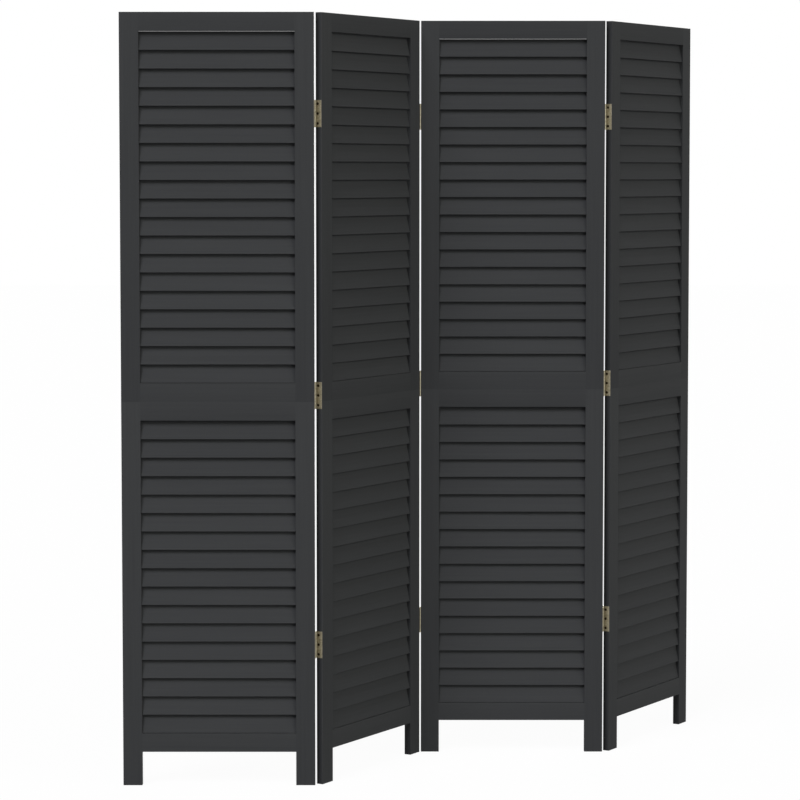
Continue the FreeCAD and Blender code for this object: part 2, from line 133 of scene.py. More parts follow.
# %% [markdown]
# ## Building node trees
# Materials here are short trees of nodes. A small helper adds one node, sets it up and links its
# inputs, so that each tree reads as a list of steps.

# %% A helper for nodes
def add_node(tree, kind, inputs=None, **settings):
    """Adds a node, with its properties set and its inputs set or linked."""
    node = tree.nodes.new(kind)
    for name, value in settings.items():
        setattr(node, name, value)
    for key, value in (inputs or {}).items():
        if isinstance(value, bpy.types.NodeSocket):
            tree.links.new(value, node.inputs[key])
        else:
            node.inputs[key].default_value = value
    return node


def math_node(tree, operation, first, second):
    return add_node(tree, "ShaderNodeMath", {0: first, 1: second}, operation=operation).outputs[0]


def weighed_sum(tree, shares, values):
    """A sum of values, each taken by its own share."""
    parts = [math_node(tree, "MULTIPLY", values[name], share) for name, share in shares.items()]
    total = parts[0]
    for part in parts[1:]:
        total = math_node(tree, "ADD", total, part)
    return total


def noise_node(tree, vector, scale=1.0, detail=2.0, rough=0.5):
    inputs = {"Vector": vector, "Scale": scale, "Detail": detail, "Roughness": rough}
    return add_node(tree, "ShaderNodeTexNoise", inputs).outputs["Fac"]


def span_node(tree, value, low, high, from_low=0.0, from_high=1.0):
    """Carries a value from one span to another and holds it there."""
    inputs = {"Value": value, "From Min": from_low, "From Max": from_high, "To Min": low, "To Max": high}
    return add_node(tree, "ShaderNodeMapRange", inputs).outputs["Result"]


def mix_colours(tree, share, first, second):
    inputs = {0: share, 6: first, 7: second}
    return add_node(tree, "ShaderNodeMix", inputs, data_type="RGBA").outputs[2]


def bump_node(tree, height, strength, depth):
    inputs = {"Height": height, "Strength": strength, "Distance": depth}
    return add_node(tree, "ShaderNodeBump", inputs).outputs["Normal"]


def scaled_vector(tree, vector, factors):
    inputs = {0: vector, 1: factors}
    return add_node(tree, "ShaderNodeVectorMath", inputs, operation="MULTIPLY").outputs[0]


def new_group(name, inputs, outputs):
    """An empty node group with named sockets, and its two ends."""
    group = bpy.data.node_groups.new(name, "ShaderNodeTree")
    for label, kind in inputs:
        group.interface.new_socket(label, in_out="INPUT", socket_type=kind)
    for label in outputs:
        group.interface.new_socket(label, in_out="OUTPUT", socket_type="NodeSocketFloat")
    entry = group.nodes.new("NodeGroupInput")
    return group, entry.outputs, group.nodes.new("NodeGroupOutput").inputs


print("node helpers ready")

# %% [markdown]
# ## Grain under paint
# Charcoal paint on a close-grained wood still shows the wood a little: long soft streaks, fine pores
# and the faint pebble of sprayed paint. Noise that is stretched along the grain gives the first two.
# The group reads a vector whose x runs along the grain, and a number for each board, so that no two
# boards look sawn from one place.

# %% The group for painted grain
STREAKS_PER_METRE = (4.0, 210.0, 210.0)
PORES_PER_METRE = (45.0, 1500.0, 1500.0)
PEEL_PER_METRE = 850.0
CLOUDS_PER_METRE = 5.0
BOARD_SHIFT = (0.9, 0.5, 0.7)
STREAK_MIDDLE = 0.29
TONE_SHARES = {"streaks": 1.1, "clouds": 0.3, "board": 0.25}
HEIGHT_SHARES = {"streaks": 0.4, "pores": 0.4, "peel": 0.2}

grain_group, given, made = new_group(
    "painted_grain",
    [("Vector", "NodeSocketVector"), ("Board", "NodeSocketFloat")],
    ["Tone", "Pores", "Height"],
)
inputs = {0: BOARD_SHIFT, "Scale": given["Board"]}
shift = add_node(grain_group, "ShaderNodeVectorMath", inputs, operation="SCALE").outputs[0]
inputs = {0: given["Vector"], 1: shift}
spot = add_node(grain_group, "ShaderNodeVectorMath", inputs, operation="ADD").outputs[0]
along = scaled_vector(grain_group, spot, STREAKS_PER_METRE)
streaks = noise_node(grain_group, along, detail=3.0, rough=0.55)
pores = noise_node(grain_group, scaled_vector(grain_group, spot, PORES_PER_METRE), detail=1.0)
peel = noise_node(grain_group, spot, PEEL_PER_METRE, detail=1.0)
clouds = noise_node(grain_group, spot, CLOUDS_PER_METRE)
values = {
    "streaks": math_node(grain_group, "SUBTRACT", streaks, STREAK_MIDDLE),
    "clouds": clouds,
    "board": given["Board"],
}
grain_group.links.new(weighed_sum(grain_group, TONE_SHARES, values), made["Tone"])
grain_group.links.new(pores, made["Pores"])
values = {"streaks": streaks, "pores": pores, "peel": peel}
grain_group.links.new(weighed_sum(grain_group, HEIGHT_SHARES, values), made["Height"])
print("painted grain group has", len(grain_group.nodes), "nodes")

# %% [markdown]
# ## Rubbed edges
# Handling rubs paint and patina thin along edges. Every eased edge in this scene is marked on its
# faces, so the group only has to break that mark up with noise, which leaves worn spots and not a drawn
# line.

# %% The group for rubbed edges
PATCHES_PER_METRE = 60.0
PATCH_SPAN = (0.35, 0.7)

rub_group, given, made = new_group(
    "rubbed_edges",
    [("Vector", "NodeSocketVector"), ("Arris", "NodeSocketFloat"), ("Amount", "NodeSocketFloat")],
    ["Mask"],
)
patches = noise_node(rub_group, given["Vector"], PATCHES_PER_METRE, detail=3.0, rough=0.6)
patches = span_node(rub_group, patches, 0.0, 1.0, *PATCH_SPAN)
worn = math_node(rub_group, "MULTIPLY", patches, given["Arris"])
rub_group.links.new(math_node(rub_group, "MULTIPLY", worn, given["Amount"]), made["Mask"])
print("rubbed edges group has", len(rub_group.nodes), "nodes")

# %% [markdown]
# ## Charcoal paint
# The whole frame is one satin charcoal. Grain runs up the stiles and across the rails and slats, so
# there are three versions that differ in how a Mapping node turns the coordinates. Two numbers on the
# vertices change the paint. The first pales a board towards its top, which is what shows the seam
# between the halves, and adds a tone for each panel that is painted light, set for how light falls on
# it, so that panel 2 comes out paler and panel 4 darker. The second is painted shadow: it darkens the
# narrow ends beside the back pins, deep in the crack between two panels.

# %% Charcoal materials
DEEP_CHARCOAL = (0.0279, 0.029, 0.0306, 1.0)
PALE_CHARCOAL = (0.0455, 0.0472, 0.0484, 1.0)
RUBBED_CHARCOAL = (0.06, 0.058, 0.055, 1.0)
# Painted shadow: the colour of the narrow ends by the back pins, deep in the crack between two panels.
PAINTED_SHADOW_CHARCOAL = (0.003, 0.003, 0.0033, 1.0)
TONE_SPAN = (-0.5, 1.5)
PAINT_RUB_SHARE = 0.3
PAINT_SHEEN = 0.1
PAINT_ROUGHNESS = (0.66, 0.8)
GRAIN_STRENGTH = 0.35
GRAIN_DEPTH = 0.0001


def mesh_mark(tree, name):
    """A number that was stored on the faces or the vertices of a mesh."""
    return add_node(tree, "ShaderNodeAttribute", attribute_name=name).outputs["Fac"]


def charcoal(name, turn):
    """Satin charcoal paint over wood whose grain is turned."""
    finish = bpy.data.materials.new(name)
    finish.use_nodes = True
    tree = finish.node_tree
    shader = tree.nodes["Principled BSDF"]
    shader.inputs["Specular IOR Level"].default_value = PAINT_SHEEN
    spot = add_node(tree, "ShaderNodeTexCoord").outputs["Object"]
    turned = add_node(tree, "ShaderNodeMapping", {"Vector": spot, "Rotation": turn}).outputs["Vector"]
    inputs = {"Vector": turned, "Board": mesh_mark(tree, "board")}
    grain = add_node(tree, "ShaderNodeGroup", inputs, node_tree=grain_group)
    # The tone rises towards a board's top, and by its panel's painted light.
    tone = math_node(tree, "ADD", grain.outputs["Tone"], mesh_mark(tree, "fade_and_painted_light"))
    tone = span_node(tree, tone, 0.0, 1.0, *TONE_SPAN)
    inputs = {"Vector": spot, "Arris": mesh_mark(tree, "arris"), "Amount": PAINT_RUB_SHARE}
    rub = add_node(tree, "ShaderNodeGroup", inputs, node_tree=rub_group)
    colour = mix_colours(tree, tone, DEEP_CHARCOAL, PALE_CHARCOAL)
    colour = mix_colours(tree, rub.outputs["Mask"], colour, RUBBED_CHARCOAL)
    # Painted shadow darkens the narrow ends of the stiles towards the back pins.
    colour = mix_colours(tree, mesh_mark(tree, "painted_shadow"), colour, PAINTED_SHADOW_CHARCOAL)
    tree.links.new(colour, shader.inputs["Base Color"])
    roughness = span_node(tree, grain.outputs["Pores"], *PAINT_ROUGHNESS)
    tree.links.new(roughness, shader.inputs["Roughness"])
    bump = bump_node(tree, grain.outputs["Height"], GRAIN_STRENGTH, GRAIN_DEPTH)
    tree.links.new(bump, shader.inputs["Normal"])
    return finish


QUARTER_TURN = math.pi / 2
stile_paint = charcoal("charcoal_up_the_grain", (0.0, QUARTER_TURN, 0.0))
cross_paint = {
    0: charcoal("charcoal_across_turned", (0.0, 0.0, -FOLD)),
    1: charcoal("charcoal_across_straight", (0.0, 0.0, 0.0)),
}
print("charcoal in", 1 + len(cross_paint), "grain directions")

# %% [markdown]
# ## Antique bronze
# The hinges are plated in an antique bronze: warm, satin and unevenly darkened, with the plating rubbed
# bright along the edges of the leaves. The screws have the same finish, left almost black. The two
# joining plates at the outer edges are painted like the wood.

# %% The group for patina, and the metal materials
BRUSHING = (1.0, 1.0, 0.06)
MOTTLE_PER_METRE = 220.0
SCRATCHES_PER_METRE = 4200.0
MOTTLE_SPAN = (0.3, 0.7)
METAL_RUB_SHARE = 0.7
ROUGHER = 0.1
SMOOTHER = 0.05
SCRATCH_STRENGTH = 0.2
SCRATCH_DEPTH = 0.00004

patina_group, given, made = new_group(
    "bronze_patina", [("Vector", "NodeSocketVector")], ["Mottle", "Scratches"]
)
brushed = scaled_vector(patina_group, given["Vector"], BRUSHING)
mottle = noise_node(patina_group, given["Vector"], MOTTLE_PER_METRE, detail=4.0, rough=0.6)
patina_group.links.new(mottle, made["Mottle"])
patina_group.links.new(noise_node(patina_group, brushed, SCRATCHES_PER_METRE), made["Scratches"])


def metal(name, dark, bright, rubbed, rough, metallic=1.0):
    """A mottled, brushed finish, rubbed bright along its edges."""
    finish = bpy.data.materials.new(name)
    finish.use_nodes = True
    tree = finish.node_tree
    shader = tree.nodes["Principled BSDF"]
    shader.inputs["Metallic"].default_value = metallic
    spot = add_node(tree, "ShaderNodeTexCoord").outputs["Object"]
    patina = add_node(tree, "ShaderNodeGroup", {"Vector": spot}, node_tree=patina_group)
    inputs = {"Vector": spot, "Arris": mesh_mark(tree, "arris"), "Amount": METAL_RUB_SHARE}
    rub = add_node(tree, "ShaderNodeGroup", inputs, node_tree=rub_group)
    share = span_node(tree, patina.outputs["Mottle"], 0.0, 1.0, *MOTTLE_SPAN)
    colour = mix_colours(tree, share, dark, bright)
    colour = mix_colours(tree, rub.outputs["Mask"], colour, rubbed)
    tree.links.new(colour, shader.inputs["Base Color"])
    roughness = span_node(tree, patina.outputs["Mottle"], rough + ROUGHER, rough - SMOOTHER)
    tree.links.new(roughness, shader.inputs["Roughness"])
    bump = bump_node(tree, patina.outputs["Scratches"], SCRATCH_STRENGTH, SCRATCH_DEPTH)
    tree.links.new(bump, shader.inputs["Normal"])
    return finish


bronze = metal(
    "antique_bronze",
    dark=(0.216, 0.19, 0.127, 1.0),
    bright=(0.4, 0.37, 0.288, 1.0),
    rubbed=(0.54, 0.51, 0.425, 1.0),
    rough=0.42,
)
dark_bronze = metal(
    "blackened_bronze",
    dark=(0.014, 0.008, 0.004, 1.0),
    bright=(0.03, 0.018, 0.009, 1.0),
    rubbed=(0.1, 0.075, 0.045, 1.0),
    rough=0.5,
)
plate_paint = metal(
    "charcoal_plate",
    dark=(0.031, 0.032, 0.034, 1.0),
    bright=(0.041, 0.042, 0.044, 1.0),
    rubbed=(0.11, 0.108, 0.105, 1.0),
    rough=0.5,
    metallic=0.0,
)
print("metals:", bronze.name, dark_bronze.name, plate_paint.name)

# %% [markdown]
# ## From a mesh to a piece
# Every piece is modelled as a bmesh in its panel's frame. Two numbers are kept on its faces: the board
# that a face belongs to, and whether it is part of an eased edge. Wood keeps two more on its vertices:
# how it pales towards its top together with its panel's painted light, and painted shadow. Weighted
# normals then keep the flats flat where they meet the rounded edges. The piece replaces its solid and
# rides on its panel.

# %% Helpers for modelling
draws = random.Random(11)
SHARP = math.radians(50)
# Painted light: a tone for each panel, set for how light falls on it, so that panel 2 comes out paler and
# panel 4 darker.
PAINTED_PANEL_LIGHT = {1: 0.1, 2: 0.22, 3: 0.05, 4: -0.15}
largest_step = 0.0


def new_mesh():
    """An empty mesh that can keep the marks that the materials read."""
    bm = bmesh.new()
    bm.faces.layers.float.new("arris")
    bm.faces.layers.float.new("board")
    # On the vertices: how wood pales towards its top together with its panel's painted light, and painted
    # shadow.
    bm.verts.layers.float.new("fade_and_painted_light")
    bm.verts.layers.float.new("painted_shadow")
    return bm


def add_box(bm, low, high):
    """A box between two corners, given in any order."""
    low, high = Vector(low), Vector(high)
    size = Vector(abs(b - a) for a, b in zip(low, high))
    matrix = Matrix.Translation((low + high) / 2) @ Matrix.Diagonal((*size, 1.0))
    return bmesh.ops.create_cube(bm, size=1.0, matrix=matrix)["verts"]


def ease(bm, edges, width, segments):
    """Rounds edges and marks the new faces as eased."""
    rounded = bmesh.ops.bevel(
        bm, geom=edges, offset=width, offset_type="OFFSET", affect="EDGES", segments=segments,
        profile=0.5, material=-1, clamp_overlap=True,
    )
    mark = bm.faces.layers.float["arris"]
    for face in rounded["faces"]:
        face[mark] = 1.0


def join(bm, part):
    """Adds a finished part to a mesh and frees it."""
    mesh = bpy.data.meshes.new("part")
    part.to_mesh(mesh)
    part.free()
    bm.from_mesh(mesh)
    bpy.data.meshes.remove(mesh)


def everything(bm):
    return bm.verts[:] + bm.edges[:] + bm.faces[:]


def edges_at(bm, test):
    """The edges whose two ends both pass a test on their place."""
    return [edge for edge in bm.edges if all(test(vert.co) for vert in edge.verts)]


def number_board(bm, faces):
    """Gives one board's faces a number of their own."""
    mark = bm.faces.layers.float["board"]
    value = draws.random()
    for face in faces:
        face[mark] = value


def fade_board(bm, panel, low, high, change):
    """Pales wood from its foot to its top, about a tone for its panel that is painted light."""
    mark = bm.verts.layers.float["fade_and_painted_light"]
    for vert in bm.verts:
        vert[mark] = PAINTED_PANEL_LIGHT[panel] + change * (2 * (vert.co.z - low) / (high - low) - 1)


def settle(bm, node, panel, finish):
    """Makes a modelled piece into an object that stands for a solid and moves with its panel."""
    global largest_step
    bmesh.ops.transform(bm, matrix=places[panel], verts=bm.verts)
    mesh = bpy.data.meshes.new(node + "_finished")
    bm.to_mesh(mesh)
    bm.free()
    mesh.materials.append(finish)
    mesh.shade_smooth()
    mesh.set_sharp_from_angle(angle=SHARP)
    piece = bpy.data.objects.new(mesh.name, mesh)
    bpy.context.collection.objects.link(piece)
    piece.modifiers.new("even_shading", "WEIGHTED_NORMAL").keep_sharp = True
    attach(piece, f"panel_{panel}")
    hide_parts(node)
    for axis in range(3):
        reach = [vert.co[axis] for vert in mesh.vertices]
        low_step = abs(min(reach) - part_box(node)[0][axis])
        high_step = abs(max(reach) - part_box(node)[1][axis])
        largest_step = max(largest_step, low_step, high_step)
    return piece


print("modelling helpers ready")

# %% [markdown]
# ## Stiles
# A stile is a planed length of wood. Its two outer edges are rounded with a sanding block, because
# hands hold the screen there. The edges towards the rails stay sharp and the ends at the seam nearly
# so, so that the painted joints close to a hairline. The feet and the tops are eased a little more.

# %% Model the stiles
OUTER_ARRIS = 0.00112
END_ARRIS = 0.0005
HAIRLINE = 0.00012
CLOSE = 0.00001
STILE_FADE = 0.46
SHADE_REACH = 0.012
SHADE_LINE = 0.004


def paint_shadow_on_end(bm, panel, end, outer):
    """Paints shadow on a stile's narrow end, darkest at a line of pins at its back, deep in the crack
    between two panels.
    """
    line = end_line(panel, end)
    if line is None or LINE_SIDES[line] < 0:
        return
    bmesh.ops.bisect_plane(
        bm, geom=everything(bm), plane_co=(0, FRAME_DEPTH - SHADE_LINE, 0), plane_no=(0, 1, 0)
    )
    mark = bm.verts.layers.float["painted_shadow"]
    for vert in bm.verts:
        if abs(vert.co.x - outer) < OUTER_ARRIS - CLOSE:
            vert[mark] = max(0.0, 1 - (FRAME_DEPTH - vert.co.y) / SHADE_REACH) ** 2


def make_stile(panel, half, end):
    bm = new_mesh()
    outer, inner = 0.0, STILE_WIDTH
    if end == "right":
        outer, inner = PANEL_WIDTH, PANEL_WIDTH - STILE_WIDTH
    low, high = (SEAM, PANEL_HEIGHT) if half == "upper" else (0.0, SEAM)
    add_box(bm, (outer, 0.0, low), (inner, FRAME_DEPTH, high))
    outer_edges = edges_at(bm, lambda p: abs(p.x - outer) < CLOSE)
    ease(bm, [edge for edge in outer_edges if edge.calc_length() > RAIL_HEIGHT], OUTER_ARRIS, segments=4)
    for level in (low, high):
        width = HAIRLINE if abs(level - SEAM) < CLOSE else END_ARRIS
        ease(bm, edges_at(bm, lambda p: abs(p.z - level) < CLOSE), width, segments=2)
    # Painted shadow on the end beside the back pins.
    paint_shadow_on_end(bm, panel, end, outer)
    fade_board(bm, panel, low, high, STILE_FADE)
    number_board(bm, bm.faces)
    return settle(bm, f"panel_{panel}_{half}_{end}_stile", panel, stile_paint)


for panel in PANELS:
    for half in ("upper", "lower"):
        for end in ("left", "right"):
            make_stile(panel, half, end)
print(f"stiles made, at most {largest_step * 1000:.2f} mm off their solids' boxes")

# %% [markdown]
# ## Rails
# Four rails tie the stiles of each panel together: one at the top, one above the legs and two that meet
# at the seam. They finish flush with the stiles. Only their long edges are eased, and hardly at all
# along the seam.

# %% Model the rails
OPENING_ARRIS = 0.0002
RAIL_FADE = 0.22
RAIL_FEET = {
    "top_rail": PANEL_HEIGHT - RAIL_HEIGHT,
    "upper_mid_rail": SEAM,
    "lower_mid_rail": SEAM - RAIL_HEIGHT,
    "bottom_rail": LEG_HEIGHT,
}


def make_rail(panel, name, foot):
    bm = new_mesh()
    head = foot + RAIL_HEIGHT
    add_box(bm, (STILE_WIDTH, 0.0, foot), (PANEL_WIDTH - STILE_WIDTH, FRAME_DEPTH, head))
    for level in (foot, head):
        width = OPENING_ARRIS
        if abs(level - SEAM) < CLOSE:
            width = HAIRLINE
        if abs(level - PANEL_HEIGHT) < CLOSE:
            width = END_ARRIS
        lengths = edges_at(bm, lambda p: abs(p.z - level) < CLOSE)
        ease(bm, [edge for edge in lengths if edge.calc_length() > STILE_WIDTH], width, segments=2)
    fade_board(bm, panel, foot, head, RAIL_FADE)
    number_board(bm, bm.faces)
    return settle(bm, f"panel_{panel}_{name}", panel, cross_paint[panel % 2])


for panel in PANELS:
    for name, foot in RAIL_FEET.items():
        make_rail(panel, name, foot)
print("rails made,", len(PANELS) * len(RAIL_FEET))

# %% [markdown]
# ## Slats
# Each half holds a row of thin boards that lean back at the top, so that a person can't see through but
# air can pass. They are let into the stiles and don't move. One slat is modelled, rounded along its
# four long edges and leaned; the rest of the row are copies one step higher each. Paint closes the
# joint under the lowest slat, and over the highest a slit is left that lets a line of light through on
# panels 1 and 3.

# %% Model the slats
SLAT_WIDTH = 0.0442
SLAT_THICKNESS = 0.004
SLAT_SETBACK = 0.0022
SLAT_BACK_MARGIN = 0.0012
SLAT_REACH = 0.0059
SLAT_ARRIS = 0.0006
SLAT_BEDDING = 0.00012
TOP_SLITS = {0: 0.0002, 1: 0.0004}
UPPER_SLATS = 19
LOWER_SLATS = 17
ROWS = {
    "upper": (SEAM + RAIL_HEIGHT, PANEL_HEIGHT - RAIL_HEIGHT, UPPER_SLATS),
    "lower": (LEG_HEIGHT + RAIL_HEIGHT, SEAM - RAIL_HEIGHT, LOWER_SLATS),
}
room = FRAME_DEPTH - SLAT_SETBACK - SLAT_BACK_MARGIN
diagonal = math.hypot(SLAT_WIDTH, SLAT_THICKNESS)
SLAT_LEAN = math.asin(room / diagonal) - math.atan(SLAT_THICKNESS / SLAT_WIDTH)
SLAT_RISE = SLAT_WIDTH * math.cos(SLAT_LEAN) + SLAT_THICKNESS * math.sin(SLAT_LEAN)


def make_row(panel, half):
    low, high, count = ROWS[half]
    bm = new_mesh()
    left, right = STILE_WIDTH - SLAT_REACH, PANEL_WIDTH - STILE_WIDTH + SLAT_REACH
    add_box(bm, (left, 0.0, 0.0), (right, SLAT_THICKNESS, SLAT_WIDTH))
    ease(bm, [edge for edge in bm.edges if edge.calc_length() > SLAT_WIDTH * 2], SLAT_ARRIS, segments=3)
    foot = low - SLAT_BEDDING + SLAT_THICKNESS * math.sin(SLAT_LEAN)
    lean = Matrix.Translation((0.0, SLAT_SETBACK, foot)) @ Matrix.Rotation(-SLAT_LEAN, 4, "X")
    bmesh.ops.transform(bm, matrix=lean, verts=bm.verts)
    number_board(bm, bm.faces)
    slat = everything(bm)
    step = (high - TOP_SLITS[panel % 2] - low + SLAT_BEDDING - SLAT_RISE) / (count - 1)
    for index in range(1, count):
        copy = bmesh.ops.duplicate(bm, geom=slat)["geom"]
        verts = [part for part in copy if isinstance(part, bmesh.types.BMVert)]
        bmesh.ops.translate(bm, vec=(0.0, 0.0, step * index), verts=verts)
        number_board(bm, [part for part in copy if isinstance(part, bmesh.types.BMFace)])
    # The slats take only their panel's tone, which is painted light.
    fade_board(bm, panel, low, high, 0.0)
    return settle(bm, f"panel_{panel}_{half}_slats", panel, cross_paint[panel % 2])


for panel in PANELS:
    for half in ROWS:
        make_row(panel, half)
print(f"slats lean {math.degrees(SLAT_LEAN):.2f} degrees, {largest_step * 1000:.2f} mm off at most")

# %% [markdown]
# ## Cutting one shape from another
# The hinge leaves have countersunk holes and the screws have cross recesses. Both are cut with a
# Boolean modifier on two short-lived objects, because a cut leaves cleaner rims here than faces
# stitched by hand.

# %% A helper that cuts
def cut(bm, tool):
    """Cuts a tool out of a mesh and gives back the mesh that is left."""
    pair = []
    for label, part in (("blank", bm), ("tool", tool)):
        mesh = bpy.data.meshes.new(label)
        part.to_mesh(mesh)
        part.free()
        pair.append(bpy.data.objects.new(label, mesh))
        bpy.context.collection.objects.link(pair[-1])
    blank, cutter = pair
    saw = blank.modifiers.new("saw", "BOOLEAN")
    saw.operation = "DIFFERENCE"
    saw.solver = "EXACT"
    saw.object = cutter
    saw.use_self = True
    shaped = blank.evaluated_get(bpy.context.evaluated_depsgraph_get())
    left = bmesh.new()
    left.from_mesh(shaped.to_mesh())
    shaped.to_mesh_clear()
    for part in pair:
        mesh = part.data
        bpy.data.objects.remove(part)
        bpy.data.meshes.remove(mesh)
    for name in ("arris", "board"):
        if name not in left.faces.layers.float:
            left.faces.layers.float.new(name)
    return left


def ease_sharp(bm, width, segments):
    """Eases every edge that is still sharp."""
    edges = [edge for edge in bm.edges if edge.is_manifold and edge.calc_face_angle() > SHARP]
    ease(bm, edges, width, segments)


print("cutting helper ready")

# %% [markdown]
# ## Where the screws go
# Each leaf takes three screws in a row, half way between its pin and its free edge. On the two outer
# edges of the screen there are no hinges, and a small plate with four screws ties the two halves
# together instead.

# %% Hinges and screws, by size and place
SHEET = 0.001
HINGE_LENGTH = 0.0625
TOP_HINGE_DROP = 0.233
MIDDLE_HINGE_RISE = 0.014
LOW_HINGE_HEIGHT = 0.3295
HINGE_HEIGHTS = (PANEL_HEIGHT - TOP_HINGE_DROP, SEAM + MIDDLE_HINGE_RISE, LOW_HINGE_HEIGHT)
SCREW_FROM_PIN = 0.0067
SCREW_SPACING = 0.0227
PLATE_RECESS = 0.0008
PLATE_SCREWS = (0.02, 0.0085, -0.0085, -0.02)


def seat(panel, end):
    """Where the metal on a panel's end lies against the wood, and the way that it faces."""
    recess = 0.0 if end_line(panel, end) else PLATE_RECESS
    return (recess, -1) if end == "left" else (PANEL_WIDTH - recess, 1)


def screw_places(panel, end):
    """Depth and height of every screw on a panel's end."""
    line = end_line(panel, end)
    if line is None:
        return [(FRAME_DEPTH / 2, SEAM + rise) for rise in PLATE_SCREWS]
    depth = pin_depth(line) - LINE_SIDES[line] * SCREW_FROM_PIN
    rises = (SCREW_SPACING, 0.0, -SCREW_SPACING)
    return [(depth, height + rise) for height in HINGE_HEIGHTS for rise in rises]


total = sum(len(screw_places(panel, end)) for panel in PANELS for end in ("left", "right"))
print(total, "screws in all")

# %% [markdown]
# ## Screws
# A countersunk wood screw is a turned shape, so its outline is spun round its axis. The head is
# slightly domed and sits just below the face of the leaf at its rim, and a cross recess is cut into it
# once. Each copy is turned by a different amount, as screws that were driven by hand are.

# %% Model one screw
SHANK_RADIUS = 0.00225
HEAD_RADIUS = SHANK_RADIUS + SHEET
SCREW_LENGTH = 0.016
TIP_LENGTH = 0.004
TIP_RADIUS = 0.0004
HEAD_LIP = 0.00012
HEAD_DOME = 0.00008
RECESS_REACH = 0.0019
RECESS_WIDTH = 0.0009
RECESS_DEPTH = 0.0009
RECESS_CLEARANCE = 0.001
HEAD_RADIUS_SHARES = (0.55, 0.9)
HEAD_DROP_SHARES = (0.3, 1.0)
RECESS_TIP_SHARE = 0.55
TURN_STEPS = 20


def spin_outline(outline):
    """A turned solid: an outline of radius and height, spun right round the z axis."""
    bm = new_mesh()
    verts = [bm.verts.new((radius, 0.0, height)) for radius, height in outline]
    edges = [bm.edges.new(pair) for pair in zip(verts, verts[1:])]
    bmesh.ops.spin(
        bm, geom=verts + edges, cent=(0, 0, 0), axis=(0, 0, 1), dvec=(0, 0, 0), angle=math.tau,
        steps=TURN_STEPS, use_merge=True,
    )
    bmesh.ops.remove_doubles(bm, verts=bm.verts, dist=CLOSE / 10)
    bmesh.ops.recalc_face_normals(bm, faces=bm.faces)
    return bm


pairs = zip(HEAD_RADIUS_SHARES, HEAD_DROP_SHARES)
dome = [(HEAD_RADIUS * out, -HEAD_DOME * down) for out, down in pairs]
screw = spin_outline([
    (0.0, 0.0),
    *dome,
    (HEAD_RADIUS - HEAD_LIP, -HEAD_LIP),
    (SHANK_RADIUS, -SHEET),
    (SHANK_RADIUS, TIP_LENGTH - SCREW_LENGTH),
    (TIP_RADIUS, -SCREW_LENGTH),
    (0.0, -SCREW_LENGTH),
])
recess = bmesh.new()
for x, y in ((RECESS_REACH, RECESS_WIDTH / 2), (RECESS_WIDTH / 2, RECESS_REACH)):
    blade = add_box(recess, (-x, -y, -RECESS_DEPTH), (x, y, RECESS_CLEARANCE))
    points = [vert for vert in blade if vert.co.z < 0]
    bmesh.ops.scale(recess, vec=(RECESS_TIP_SHARE, RECESS_TIP_SHARE, 1.0), verts=points)
screw = cut(screw, recess)
screw_mesh = bpy.data.meshes.new("screw_blank")
screw.to_mesh(screw_mesh)
screw.free()
print("one screw has", len(screw_mesh.polygons), "faces")

# %% [markdown]
# All the screws of a panel are one piece, as they are one node of solids.

# %% Drive the screws
def drive_screws(panel):
    bm = new_mesh()
    for end in ("left", "right"):
        plane, facing = seat(panel, end)
        for depth, height in screw_places(panel, end):
            first = len(bm.verts)
            bm.from_mesh(screw_mesh)
            bm.verts.ensure_lookup_table()
            matrix = (
                Matrix.Translation((plane + facing * SHEET, depth, height))
                @ Matrix.Rotation(facing * QUARTER_TURN, 4, "Y")
                @ Matrix.Rotation(draws.uniform(0.0, QUARTER_TURN), 4, "Z")
            )
            bmesh.ops.transform(bm, matrix=matrix, verts=bm.verts[first:])
    return settle(bm, f"panel_{panel}_screws", panel, dark_bronze)


for panel in PANELS:
    piece = drive_screws(panel)
    print(piece.name, len(piece.data.polygons), "faces")

# %% [markdown]
# ## Hinge leaves
# A butt hinge's leaf is stamped from sheet, and tabs on one edge are rolled round the pin. It is
# modelled the same way: a flat plate is sliced at the height of each tab, the tabs are drawn out to the
# pin, and each tab's end is spun round it until its tip comes back to the sheet. The two leaves take
# turns along the pin.

# %% Model the leaves
KNUCKLES = 5
KNUCKLE_GAP = 0.0002
NOTCH_GAP = 0.0003
LEAF_MARGIN = 0.0006
ROLL = math.radians(300)
ROLL_STEPS = 20
SHEET_ARRIS = 0.00015
FACES_PIN = 0.9
SINK_PAST = 0.0004
SINK_SIDES = 24


def knuckle_span(height, index):
    """The lower and upper end of one knuckle of a hinge."""
    bottom = height - HINGE_LENGTH / 2
    length = HINGE_LENGTH / KNUCKLES
    low = bottom + index * length + (KNUCKLE_GAP / 2 if index > 0 else 0.0)
    high = bottom + (index + 1) * length - (KNUCKLE_GAP / 2 if index < KNUCKLES - 1 else 0.0)
    return low, high


